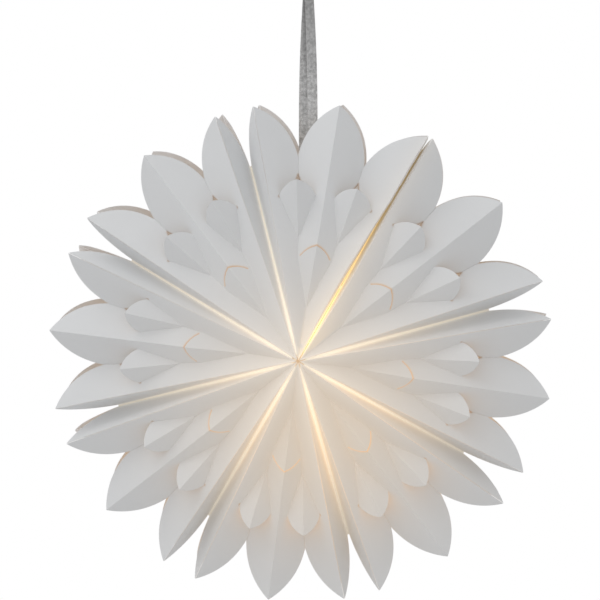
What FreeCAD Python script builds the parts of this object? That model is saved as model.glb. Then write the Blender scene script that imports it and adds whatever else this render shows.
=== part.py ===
import FreeCAD, Part
import math
import os

# A folded paper star lantern hung on a velvet ribbon, in millimetres.
# +Z is up and -Y is the front. The pieces are made about the centre of the star, and the
# last step moves the origin to where the hook's flange meets the ceiling.
# Each of the 8 segments is a front and a rear leaf of pleated paper, glued to seam ribs.

# ---- the star as a whole
SEGMENTS = 8
FIRST_SEGMENT_ANGLE = 82.5      # direction of the topmost segment's middle, from +X towards +Z
PAPER = 0.4                     # thickness of the paper
CENTRE_HOLE_RADIUS = 3.0        # where the leaves' points stop short of the axis
APEX_DEPTH = 60.0               # half the depth of the star at its centre

# ---- creases of one leaf: each runs straight from the leaf's point
TIP_RADIUS = 247.0              # length of the petals, along the crease, seen from the front
TIP_DEPTH = 28.0
NOTCH_RADIUS = 193.0            # where neighbouring petals part
NOTCH_DEPTH = 15.0
SEAM_RADIUS = 190.0             # where the leaf ends at the seam
SEAM_DEPTH = 1.0
EDGE_RIDGE_ANGLE = 18.5         # the outer ridges, from the segment's middle
PETAL_BULGE = 0.14              # how far an outline bows out, as a share of its chord
SMALL_PETAL_BULGE = 0.11        # the same for the small petals and the cuts behind them

# ---- small petals that pop out of the valleys
INNER_FOLD_RADIUS = 47.0        # where the inner petal leaves the middle valley
INNER_SIDE_RADIUS = 94.0        # where its cut edge begins
INNER_TIP_RADIUS = 110.0
INNER_TRIM = 3.5                # cut off the inner petal's tip, so that a slit stays open
MIDDLE_FOLD_RADIUS = 114.0      # where a middle petal leaves its valley
MIDDLE_SIDE_LENGTH = 45.5       # length of its side folds
MIDDLE_SIDE_ANGLE = 26.0        # angle between a side fold and the valley, on the flat paper
MIDDLE_TIP_INSET = 17.0         # from the notch to the tip of its cut
MIDDLE_TRIM = 2.0               # cut off a middle petal's tip

# ---- seam ribs
RIB_WIDTH = 10.0
RIB_START_RADIUS = 7.0
CLOSURE_SEAM = 1                # the seam that is undone to fold the star flat
CLOSURE_PANEL = 0.45            # thickness of each half of the closing rib
MAGNET_RADIUS = 3.5
MAGNET_INSET = 9.5              # from the outer end of the closing rib
MAGNET_MIDDLE_RADIUS = 80.0     # of the two magnets on the rib's arms, from the axis

# ---- hanger rod, inside the star between two seam ribs
ROD_RADIUS = 1.6
ROD_SEAT_INSET = 20.0           # where it passes through the ribs, from the seam's end
ROD_CLEARANCE = 0.15
BEAD_RADIUS = 3.5
BEAD_CLEARANCE = 0.1

# ---- ribbon: one loop round the rod, knotted above the star
HANG_X = 7.3                    # above the balance point of the star with its lamp
RIBBON_WIDTH = 10.0
RIBBON_THICKNESS = 1.0
RIBBON_CLEARANCE = 0.3
STRAND_SHIFT = 3.4              # how far the strands part sideways, low down
STRAND_GAP = 0.4                # between the strands under the knot, and from them to the knot
KNOT_BOTTOM_Z = 375.0
KNOT_WIDTH = 16.0
KNOT_DEPTH = 10.0
KNOT_HEIGHT = 13.0
KNOT_ROUNDING = 4.0
LOOP_WIDTH = 7.0
LOOP_CLEARANCE = 1.1            # above the wire, which curves up beside the loop's middle
LOOP_GAP = 0.4                  # from the loop's feet to the knot
LOOP_LENGTH = 13.0              # from the knot's top to the middle of the hook's wire

# ---- ceiling hook
HOOK_WIRE_RADIUS = 1.7
HOOK_BEND_RADIUS = 9.0
HOOK_SHANK = 14.0
HOOK_OPENING_ANGLE = 270.0      # how far the wire goes round
HOOK_BALL = 1.25                # the wire's rounded end, against the wire
HOOK_FLANGE_RADIUS = 7.0
HOOK_FLANGE = 1.8
HOOK_SCREW_RADIUS = 2.0
HOOK_SCREW_LENGTH = 20.0
HOOK_SCREW_TIP = 5.0

# ---- bracket that carries the lamp holder on the rod
LAMP_X = 30.0
BRACKET_WIDTH = 10.0
BRACKET_SHEET = 1.2
BRACKET_HEAD = 6.0              # above the rod
BRACKET_RING_RADIUS = 11.0
BRACKET_OFFSET = 10.5           # of the upright from the lamp's middle line

# ---- lamp holder
HOLDER_TOP_Z = 38.0
HOLDER_RADIUS = 14.0
HOLDER_WALL = 2.0
HOLDER_LENGTH = 48.0
HOLDER_CAP_LENGTH = 14.0
HOLDER_CAP_LIP = 5.0            # how far the cap reaches into the shell
GLAND_RADIUS = 5.5
GLAND_LENGTH = 11.0
CORD_HOLE_RADIUS = 3.2
NUT_ACROSS = 17.0
NUT_LENGTH = 5.0
FIT_CLEARANCE = 0.1
SOCKET_WALL = 0.5               # the brass sleeve that takes the lamp's thread
SOCKET_LENGTH = 19.0
INSULATOR_LENGTH = 6.0
CONTACT_WIDTH = 4.0
CONTACT_DROP = 2.0              # how far the contact stands out of the core
CONTACT_GAP = 0.2               # from it to the lamp's own contact

# ---- lamp
THREAD_RADIUS = 6.9
THREAD_PITCH = 2.82
THREAD_TURNS = 5
THREAD_DEPTH = 0.7
THREAD_CLEARANCE = 0.35
CAP_DOME = 3.0
CAP_DOME_RADIUS = 4.5
LAMP_CONTACT_RADIUS = 2.4
LAMP_CONTACT_LENGTH = 1.2
CAP_WALL = 0.8
COLLAR_LENGTH = 16.0
COLLAR_RADIUS = 12.8
COLLAR_RIM = 3.0
GLOBE_RADIUS = 22.5
GLOBE_WALL = 1.0
LED_PLATE = 1.6
LED_CHIPS = 6
LED_CHIP = 2.6
LED_CHIP_HEIGHT = 0.7
LED_CHIP_CIRCLE = 7.0

HALF_SEGMENT = 180.0 / SEGMENTS
VALLEY_ANGLE = EDGE_RIDGE_ANGLE / 2.0


def vec(x, y, z):
    return FreeCAD.Vector(x, y, z)


# ---- one leaf, in its own frame: x along its middle, y across, z towards the front

LEAF_POINT = vec(CENTRE_HOLE_RADIUS, 0.0, APEX_DEPTH)


def crease_point(angle, end_radius, end_depth, radius):
    """A point on the straight crease from the leaf's point to its end."""
    turn = math.radians(angle)
    drop = (APEX_DEPTH - end_depth) * radius / end_radius
    return LEAF_POINT + vec(radius * math.cos(turn), radius * math.sin(turn), -drop)


def ridge(side, radius):
    return crease_point(side * EDGE_RIDGE_ANGLE, TIP_RADIUS, TIP_DEPTH, radius)


def valley(side, radius):
    return crease_point(side * VALLEY_ANGLE, NOTCH_RADIUS, NOTCH_DEPTH, radius)


def middle(radius):
    return crease_point(0.0, TIP_RADIUS, TIP_DEPTH, radius)


def seam(side, radius):
    return crease_point(side * HALF_SEGMENT, SEAM_RADIUS, SEAM_DEPTH, radius)


def plane_normal(a, b, c):
    """Unit normal of the plane through three points, turned to the front."""
    normal = (b - a).cross(c - a).normalize()
    return normal if normal.z > 0 else normal * -1.0


def mirrored(point, a, b, c):
    """The point reflected in the plane through a, b and c."""
    normal = plane_normal(a, b, c)
    return point - normal * (2.0 * (point - a).dot(normal))


def middle_valley(radius):
    """A point where the two outer panels would meet on the leaf's middle."""
    normal = plane_normal(LEAF_POINT, ridge(1, TIP_RADIUS), valley(1, NOTCH_RADIUS))
    direction = normal.cross(vec(0, 1, 0))
    return LEAF_POINT + direction * (radius / direction.x)


def side_fold_end(side, towards):
    """The widest point of a middle petal, on the panel that holds the point towards."""
    start = valley(side, MIDDLE_FOLD_RADIUS)
    along = (valley(side, NOTCH_RADIUS) - start).normalize()
    across = towards - start
    across = (across - along * across.dot(along)).normalize()
    turn = math.radians(MIDDLE_SIDE_ANGLE)
    return start + (along * math.cos(turn) + across * math.sin(turn)) * MIDDLE_SIDE_LENGTH


def trimmed(tip, foot, trim):
    """The tip moved back towards the foot."""
    return tip + (foot - tip).normalize() * trim


def leaf_points():
    """All the corners of one leaf's paper, by name."""
    points = {"point": LEAF_POINT, "mid_tip": middle(TIP_RADIUS)}
    points["inner_fold"] = middle_valley(INNER_FOLD_RADIUS)
    points["slit_tip"] = middle(INNER_TIP_RADIUS)
    for side, name in ((1, "left"), (-1, "right")):
        points[name + "_tip"] = ridge(side, TIP_RADIUS)
        points[name + "_notch"] = valley(side, NOTCH_RADIUS)
        points[name + "_seam"] = seam(side, SEAM_RADIUS)
        points[name + "_inner_side"] = valley(side, INNER_SIDE_RADIUS)
        points[name + "_fold"] = valley(side, MIDDLE_FOLD_RADIUS)
        points[name + "_hole_tip"] = valley(side, NOTCH_RADIUS - MIDDLE_TIP_INSET)
        outer = side_fold_end(side, ridge(side, TIP_RADIUS))
        inner = side_fold_end(side, middle(TIP_RADIUS))
        points[name + "_outer_side"] = outer
        points[name + "_middle_side"] = inner
        fold = points[name + "_fold"]
        petal_tip = mirrored(points[name + "_hole_tip"], fold, outer, inner)
        points[name + "_petal_tip"] = trimmed(petal_tip, fold, MIDDLE_TRIM)
    fold = points["inner_fold"]
    petal_tip = mirrored(middle_valley(INNER_TIP_RADIUS), fold, points["left_inner_side"],
                         points["right_inner_side"])
    points["inner_petal_tip"] = trimmed(petal_tip, fold, INNER_TRIM)
    return points


def leaf_panels():
    """The flat panels of one leaf: corner names in order, a * before one that an arc leads to."""
    panels = []
    for side in ("left", "right"):
        names = [["point", "{0}_tip", "*{0}_seam"],
                 ["point", "{0}_tip", "*{0}_notch", "{0}_hole_tip", "*{0}_outer_side",
                  "{0}_fold", "{0}_inner_side", "inner_fold"],
                 ["mid_tip", "*{0}_notch", "{0}_hole_tip", "*{0}_middle_side",
                  "{0}_fold", "{0}_inner_side", "*slit_tip"],
                 ["{0}_fold", "{0}_outer_side", "*{0}_petal_tip"],
                 ["{0}_fold", "{0}_middle_side", "*{0}_petal_tip"],
                 ["inner_fold", "{0}_inner_side", "*inner_petal_tip"]]
        panels += [[name.format(side) for name in panel] for panel in names]
    return panels


def bow_point(start, end, panel_centre, bulge):
    """The middle of an arc that bows away from the panel's centre, in the panel's plane."""
    chord = end - start
    out = (start + end) * 0.5 - panel_centre
    out = (out - chord * (out.dot(chord) / chord.dot(chord))).normalize()
    return (start + end) * 0.5 + out * (chord.Length * bulge)


def hole_side(start, end):
    """Whether this edge is the far side of a cut, which bows towards its panel."""
    return any("hole_tip" in name or "slit_tip" in name for name in (start, end))


def bulge_between(start, end):
    """How far the arc between two named corners bows."""
    small = hole_side(start, end) or "petal_tip" in start + end
    return SMALL_PETAL_BULGE if small else PETAL_BULGE


def corner_offset(normals):
    """The step from a corner to the corner of the same paper, one unit further forward."""
    if len(normals) == 1:
        return normals[0]
    if len(normals) == 2:
        first, second = normals
        return (first + second) * (1.0 / (1.0 + first.dot(second)))
    first, second, third = normals[:3]
    total = second.cross(third) + third.cross(first) + first.cross(second)
    return total * (1.0 / first.dot(second.cross(third)))


def leaf_edge(points, offsets, edge, centre, level):
    """One edge of a panel, on the front or the back of the paper."""
    start, end, curved = edge
    first = points[start] + offsets[start] * level
    last = points[end] + offsets[end] * level
    if not curved:
        return Part.LineSegment(first, last).toShape()
    bow = bow_point(points[start], points[end], centre, bulge_between(start, end))
    if hole_side(start, end):
        # the panel lies outside the cut here, so the arc bows into it
        bow = points[start] + points[end] - bow
    bow = bow + (offsets[start] + offsets[end]) * (0.5 * level)
    return Part.Arc(first, bow, last).toShape()


def make_leaf():
    """One leaf as a closed solid of even thickness."""
    points = leaf_points()
    edges = {}
    normals = {name: [] for name in points}
    panels = []
    for panel in leaf_panels():
        names = [name.lstrip("*") for name in panel]
        corners = [points[name] for name in names]
        normal = plane_normal(corners[0], corners[1], corners[2])
        centre = corners[0] * (1.0 / len(corners))
        for corner in corners[1:]:
            centre = centre + corner * (1.0 / len(corners))
        outline = []
        for index, name in enumerate(panel):
            before = names[index - 1]
            outline.append((before, names[index], name.startswith("*")))
            normals[names[index]].append(normal)
        panels.append((outline, centre))
    offsets = {name: corner_offset(normals[name]) for name in points}
    faces = []
    for outline, centre in panels:
        for level in (PAPER / 2.0, -PAPER / 2.0):
            loop = [leaf_edge(points, offsets, edge, centre, level) for edge in outline]
            faces.append(Part.Face(Part.Wire(loop)))
        for edge in outline:
            edges.setdefault(frozenset(edge[:2]), []).append((edge, centre))
    for uses in edges.values():
        # an edge that only one panel has is an edge of the paper
        if len(uses) == 1:
            edge, centre = uses[0]
            front = leaf_edge(points, offsets, edge, centre, PAPER / 2.0)
            back = leaf_edge(points, offsets, edge, centre, -PAPER / 2.0)
            faces.append(Part.makeRuledSurface(front, back))
    shell = Part.Shell(faces)
    shell.sewShape()
    solid = Part.Solid(shell)
    if solid.Volume < 0:
        solid.reverse()
    return solid


def placed(shape, angle):
    """Turns a shape from the leaf's frame to its direction in the star."""
    turned = shape.copy()
    turned.rotate(vec(0, 0, 0), vec(1, 0, 0), 90.0)
    turned.rotate(vec(0, 0, 0), vec(0, -1, 0), angle)
    return turned


def segment_angle(number):
    """Segments are numbered clockwise from the top one."""
    return FIRST_SEGMENT_ANGLE - 2.0 * HALF_SEGMENT * (number - 1)


def seam_angle(number):
    """Seam number n lies between segments n and n + 1."""
    return segment_angle(number) - HALF_SEGMENT


def make_leaves():
    leaf = make_leaf()
    parts = {}
    for number in range(1, SEGMENTS + 1):
        front = placed(leaf, segment_angle(number))
        parts["front_leaf_%d" % number] = front
        parts["rear_leaf_%d" % number] = front.mirror(vec(0, 0, 0), vec(0, 1, 0))
    return parts


# ---- seam ribs: x along the seam from the star's axis, z towards the front

SEAM_START = CENTRE_HOLE_RADIUS * math.cos(math.radians(HALF_SEGMENT))
SEAM_SLOPE = (APEX_DEPTH - SEAM_DEPTH) / SEAM_RADIUS
RIB_END = SEAM_START + SEAM_RADIUS


def seam_depth(distance):
    return APEX_DEPTH - SEAM_SLOPE * (distance - SEAM_START)


def rib_half_thickness():
    """From the seam's middle plane to the paper of the leaf beside it."""
    wall = plane_normal(LEAF_POINT, ridge(1, TIP_RADIUS), seam(1, SEAM_RADIUS))
    turn = math.radians(HALF_SEGMENT)
    across = vec(-math.sin(turn), math.cos(turn), 0)
    return abs((LEAF_POINT + wall * (PAPER / 2.0)).dot(across))


def rib_panel(low, high):
    """A V-shaped rib under both seam creases, between two distances across the seam."""
    band = RIB_WIDTH * math.hypot(1.0, SEAM_SLOPE)
    start_depth = seam_depth(RIB_START_RADIUS)
    inner_corner = SEAM_START + (APEX_DEPTH - band) / SEAM_SLOPE
    half = [(RIB_START_RADIUS, start_depth - band), (RIB_START_RADIUS, start_depth),
            (RIB_END, SEAM_DEPTH)]
    outline = [vec(inner_corner, low, 0)]
    outline += [vec(x, low, z) for x, z in half]
    outline += [vec(x, low, -z) for x, z in reversed(half)]
    outline.append(outline[0])
    return Part.Face(Part.makePolygon(outline)).extrude(vec(0, high - low, 0))


def rod_end(number):
    turn = math.radians(seam_angle(number))
    return vec(math.cos(turn), 0, math.sin(turn)) * (SEAM_RADIUS - ROD_SEAT_INSET)


ROD_LEFT = rod_end(SEGMENTS)
ROD_RIGHT = rod_end(CLOSURE_SEAM)
ROD_DIRECTION = (ROD_RIGHT - ROD_LEFT).normalize()
ROD_SLOPE = ROD_DIRECTION.z / ROD_DIRECTION.x


def rod_z(x):
    """Height of the rod's middle line at a place across the star."""
    return ROD_LEFT.z + (x - ROD_LEFT.x) * ROD_SLOPE


def bead_distance():
    """From a rib's middle plane to its bead's centre, along the rod."""
    lean = math.cos(math.radians(HALF_SEGMENT))
    return (rib_half_thickness() + BEAD_RADIUS + BEAD_CLEARANCE) / lean


def rod_cylinder(radius):
    reach = bead_distance() + BEAD_RADIUS
    start = ROD_LEFT - ROD_DIRECTION * reach
    length = (ROD_RIGHT - ROD_LEFT).Length + 2.0 * reach
    return Part.makeCylinder(radius, length, start, ROD_DIRECTION)


def magnet(distance, depth):
    """A flat magnet pair that fills the closing seam's gap."""
    half_gap = rib_half_thickness() - CLOSURE_PANEL
    return Part.makeCylinder(MAGNET_RADIUS, 2.0 * half_gap, vec(distance, -half_gap, depth),
                             vec(0, 1, 0))


def make_ribs():
    half = rib_half_thickness()
    rod_hole = rod_cylinder(ROD_RADIUS + ROD_CLEARANCE)
    parts = {}
    for number in range(1, SEGMENTS + 1):
        if number != CLOSURE_SEAM:
            rib = placed(rib_panel(-half, half), seam_angle(number))
            parts["seam_rib_%d" % number] = rib.cut(rod_hole)
    sides = (("upper", half - CLOSURE_PANEL, half), ("lower", -half, CLOSURE_PANEL - half))
    for name, low, high in sides:
        panel = placed(rib_panel(low, high), seam_angle(CLOSURE_SEAM))
        parts["closing_rib_" + name] = panel.cut(rod_hole)
    band_middle = seam_depth(MAGNET_MIDDLE_RADIUS) - RIB_WIDTH / 2.0
    magnets = [magnet(RIB_END - MAGNET_INSET, 0.0)]
    magnets += [magnet(MAGNET_MIDDLE_RADIUS, side * band_middle) for side in (1, -1)]
    parts["closing_magnets"] = placed(Part.Compound(magnets), seam_angle(CLOSURE_SEAM))
    return parts


def make_rod():
    rod = rod_cylinder(ROD_RADIUS)
    beads = []
    for end, way in ((ROD_LEFT, -1), (ROD_RIGHT, 1)):
        ball = Part.makeSphere(BEAD_RADIUS, end + ROD_DIRECTION * (way * bead_distance()))
        beads.append(ball.cut(rod))
    return {"hanger_rod": rod, "rod_end_beads": Part.Compound(beads)}


# ---- ribbon, knot and loop

def strand_section(x, y, z, slope=0.0):
    """The ribbon's section, face to the front, centred on x, y and z."""
    half_width = RIBBON_WIDTH / 2.0
    half_thickness = RIBBON_THICKNESS / 2.0
    corners = ((-1, -1), (1, -1), (1, 1), (-1, 1), (-1, -1))
    outline = [vec(x + i * half_width, y + j * half_thickness, z + i * half_width * slope)
               for i, j in corners]
    return Part.makePolygon(outline)


def make_ribbon():
    """Two strands from the knot, joined by a half turn under the rod."""
    inner = ROD_RADIUS + RIBBON_CLEARANCE
    outer = inner + RIBBON_THICKNESS
    wide = RIBBON_WIDTH + 2.0 * STRAND_SHIFT
    left = HANG_X - wide / 2.0
    z = rod_z(left)
    outline = [Part.Arc(vec(left, -outer, z), vec(left, 0, z - outer), vec(left, outer, z)),
               Part.LineSegment(vec(left, outer, z), vec(left, inner, z)),
               Part.Arc(vec(left, inner, z), vec(left, 0, z - inner), vec(left, -inner, z)),
               Part.LineSegment(vec(left, -inner, z), vec(left, -outer, z))]
    profile = Part.Face(Part.Wire([edge.toShape() for edge in outline]))
    turn = profile.extrude(vec(wide, 0, wide * ROD_SLOPE))
    strands = []
    for side in (1, -1):
        middle_y = -side * (inner + outer) / 2.0
        low_x = HANG_X + side * STRAND_SHIFT
        low = strand_section(low_x, middle_y, rod_z(low_x), ROD_SLOPE)
        top_y = -side * (RIBBON_THICKNESS + STRAND_GAP) / 2.0
        top = strand_section(HANG_X, top_y, KNOT_BOTTOM_Z - STRAND_GAP)
        strands.append(Part.makeLoft([low, top], True, True))
    return {"hanging_ribbon": turn.fuse(strands)}


HOOK_Z = KNOT_BOTTOM_Z + KNOT_HEIGHT + LOOP_LENGTH


def make_knot():
    corner = vec(HANG_X - KNOT_WIDTH / 2.0, -KNOT_DEPTH / 2.0, KNOT_BOTTOM_Z)
    block = Part.makeBox(KNOT_WIDTH, KNOT_DEPTH, KNOT_HEIGHT, corner)
    return {"ribbon_knot": block.makeFillet(KNOT_ROUNDING, block.Edges)}


def make_loop():
    """The short loop over the hook's wire: an arch and two legs down to the knot."""
    inner = HOOK_WIRE_RADIUS + LOOP_CLEARANCE
    outer = inner + RIBBON_THICKNESS
    top = HOOK_Z
    bottom = KNOT_BOTTOM_Z + KNOT_HEIGHT + LOOP_GAP
    profile = []
    for radius in (outer, inner):
        legs = [vec(HANG_X - radius, 0, bottom), vec(HANG_X - radius, 0, top)]
        legs += [vec(HANG_X + radius, 0, top), vec(HANG_X + radius, 0, bottom)]
        profile.append(legs)
    (a, b, c, d), (e, f, g, h) = profile
    arch = [Part.LineSegment(a, b), Part.Arc(b, vec(HANG_X, 0, top + outer), c),
            Part.LineSegment(c, d), Part.LineSegment(d, h), Part.LineSegment(h, g),
            Part.Arc(g, vec(HANG_X, 0, top + inner), f), Part.LineSegment(f, e),
            Part.LineSegment(e, a)]
    face = Part.Face(Part.Wire([edge.toShape() for edge in arch]))
    loop = face.extrude(vec(0, LOOP_WIDTH, 0))
    loop.translate(vec(0, -LOOP_WIDTH / 2.0, 0))
    return {"ribbon_loop": loop}


HOOK_CENTRE_Z = HOOK_Z + HOOK_BEND_RADIUS
FLANGE_Z = HOOK_CENTRE_Z + HOOK_BEND_RADIUS + HOOK_SHANK
CEILING_Z = FLANGE_Z + HOOK_FLANGE


def make_hook():
    """A screw hook: an open ring of wire, whose lowest point carries the loop."""
    centre = vec(HANG_X, 0, HOOK_CENTRE_Z)
    top = centre + vec(0, 0, HOOK_BEND_RADIUS)
    section = Part.Face(Part.Wire(Part.makeCircle(HOOK_WIRE_RADIUS, top, vec(0, 1, 0))))
    ring = section.revolve(centre, vec(-1, 0, 0), HOOK_OPENING_ANGLE)
    end = FreeCAD.Rotation(vec(-1, 0, 0), HOOK_OPENING_ANGLE).multVec(top - centre) + centre
    shank = Part.makeCylinder(HOOK_WIRE_RADIUS, HOOK_SHANK, top)
    flange = Part.makeCylinder(HOOK_FLANGE_RADIUS, HOOK_FLANGE, vec(HANG_X, 0, FLANGE_Z))
    straight = HOOK_SCREW_LENGTH - HOOK_SCREW_TIP
    screw = Part.makeCylinder(HOOK_SCREW_RADIUS, straight, vec(HANG_X, 0, CEILING_Z))
    tip_foot = vec(HANG_X, 0, CEILING_Z + straight)
    tip = Part.makeCone(HOOK_SCREW_RADIUS, 0.0, HOOK_SCREW_TIP, tip_foot)
    ball = Part.makeSphere(HOOK_WIRE_RADIUS * HOOK_BALL, end)
    return {"ceiling_hook": ring.fuse([shank, flange, screw, tip, ball]).removeSplitter()}


# ---- lamp holder and its bracket

HOLDER_BOTTOM_Z = HOLDER_TOP_Z - HOLDER_LENGTH
SOCKET_TOP_Z = HOLDER_TOP_Z - HOLDER_CAP_LENGTH - INSULATOR_LENGTH
SOCKET_RADIUS = THREAD_RADIUS + THREAD_CLEARANCE


def lamp_cylinder(radius, low, high):
    """A cylinder on the lamp's vertical middle line, between two heights."""
    return Part.makeCylinder(radius, high - low, vec(LAMP_X, 0, low))


def lamp_revolve(outline):
    """A solid of revolution about the lamp's middle line, from (radius, height) edges."""
    return Part.Face(Part.Wire(outline)).revolve(vec(LAMP_X, 0, 0), vec(0, 0, 1), 360.0)


def lamp_line(start, end):
    first = vec(LAMP_X + start[0], 0, start[1])
    last = vec(LAMP_X + end[0], 0, end[1])
    return Part.LineSegment(first, last).toShape()


def lamp_arc(start, through, end):
    corners = [vec(LAMP_X + radius, 0, height) for radius, height in (start, through, end)]
    return Part.Arc(*corners).toShape()


def lamp_outline(corners):
    return [lamp_line(corners[i - 1], corners[i]) for i in range(len(corners))]


def make_bracket():
    """A bent strip: a head with a hole for the rod, an upright, and a ring under the nut."""
    upright_x = LAMP_X + BRACKET_OFFSET
    head_z = rod_z(upright_x) + BRACKET_HEAD
    corner = vec(upright_x, -BRACKET_WIDTH / 2.0, HOLDER_TOP_Z)
    upright = Part.makeBox(BRACKET_SHEET, BRACKET_WIDTH, head_z - HOLDER_TOP_Z, corner)
    ring = lamp_cylinder(BRACKET_RING_RADIUS, HOLDER_TOP_Z, HOLDER_TOP_Z + BRACKET_SHEET)
    bracket = upright.fuse(ring)
    bracket = bracket.cut(rod_cylinder(ROD_RADIUS + ROD_CLEARANCE))
    hole = lamp_cylinder(GLAND_RADIUS + FIT_CLEARANCE, HOLDER_TOP_Z, HOLDER_TOP_Z + BRACKET_SHEET)
    return {"lamp_bracket": bracket.cut(hole).removeSplitter()}


def make_holder():
    cap_bottom = HOLDER_TOP_Z - HOLDER_CAP_LENGTH
    bore = HOLDER_RADIUS - HOLDER_WALL
    lip = bore - FIT_CLEARANCE
    gland_top = HOLDER_TOP_Z + GLAND_LENGTH
    inner_top = HOLDER_TOP_Z - HOLDER_WALL
    cap = lamp_revolve(lamp_outline([
        (CORD_HOLE_RADIUS, gland_top), (GLAND_RADIUS, gland_top), (GLAND_RADIUS, HOLDER_TOP_Z),
        (HOLDER_RADIUS - HOLDER_WALL, HOLDER_TOP_Z), (HOLDER_RADIUS, HOLDER_TOP_Z - HOLDER_WALL),
        (HOLDER_RADIUS, cap_bottom), (lip, cap_bottom), (lip, cap_bottom - HOLDER_CAP_LIP),
        (lip - HOLDER_WALL, cap_bottom - HOLDER_CAP_LIP), (lip - HOLDER_WALL, inner_top),
        (CORD_HOLE_RADIUS, inner_top)]))
    shell = lamp_cylinder(HOLDER_RADIUS, HOLDER_BOTTOM_Z, cap_bottom)
    shell = shell.cut(lamp_cylinder(bore, HOLDER_BOTTOM_Z, cap_bottom))
    nut_z = HOLDER_TOP_Z + BRACKET_SHEET
    corner_radius = NUT_ACROSS / math.sqrt(3.0)
    corners = [vec(LAMP_X + corner_radius * math.cos(math.radians(60.0 * i)),
                   corner_radius * math.sin(math.radians(60.0 * i)), nut_z) for i in range(7)]
    nut = Part.Face(Part.makePolygon(corners)).extrude(vec(0, 0, NUT_LENGTH))
    nut = nut.cut(lamp_cylinder(GLAND_RADIUS, nut_z, nut_z + NUT_LENGTH))
    return {"holder_cap": cap, "holder_shell": shell, "gland_nut": nut}


def make_socket():
    """The insulating core on the cap's lip, its brass sleeve and its spring contact."""
    core_radius = HOLDER_RADIUS - HOLDER_WALL - FIT_CLEARANCE
    sleeve_outer = SOCKET_RADIUS + SOCKET_WALL
    cap_lip_z = HOLDER_TOP_Z - HOLDER_CAP_LENGTH - HOLDER_CAP_LIP
    core_bottom = SOCKET_TOP_Z - SOCKET_LENGTH
    core = lamp_cylinder(core_radius, core_bottom, cap_lip_z)
    core = core.cut(lamp_cylinder(sleeve_outer, core_bottom, SOCKET_TOP_Z))
    sleeve = lamp_cylinder(sleeve_outer, core_bottom, SOCKET_TOP_Z)
    sleeve = sleeve.cut(lamp_cylinder(SOCKET_RADIUS, core_bottom, SOCKET_TOP_Z - SOCKET_WALL))
    contact_hole = CONTACT_WIDTH / math.sqrt(2.0) + SOCKET_WALL
    sleeve = sleeve.cut(lamp_cylinder(contact_hole, core_bottom, SOCKET_TOP_Z))
    corner = vec(LAMP_X - CONTACT_WIDTH / 2.0, -CONTACT_WIDTH / 2.0, SOCKET_TOP_Z - CONTACT_DROP)
    contact = Part.makeBox(CONTACT_WIDTH, CONTACT_WIDTH, CONTACT_DROP, corner)
    return {"holder_core": core, "socket_sleeve": sleeve, "centre_contact": contact}


# ---- lamp, screwed up into the sleeve

CAP_TOP_Z = SOCKET_TOP_Z - CONTACT_DROP - LAMP_CONTACT_LENGTH - CONTACT_GAP
THREAD_TOP_Z = CAP_TOP_Z - CAP_DOME
CAP_BOTTOM_Z = THREAD_TOP_Z - THREAD_TURNS * THREAD_PITCH
COLLAR_BOTTOM_Z = CAP_BOTTOM_Z - COLLAR_LENGTH


def thread_edges():
    """A rounded thread profile, from the cap's top down to its foot."""
    edges = []
    root = THREAD_RADIUS - THREAD_DEPTH
    for turn in range(THREAD_TURNS):
        top = THREAD_TOP_Z - turn * THREAD_PITCH
        foot = top - THREAD_PITCH
        edges.append(lamp_arc((root, top), (THREAD_RADIUS, (top + foot) / 2.0), (root, foot)))
    return edges


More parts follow.
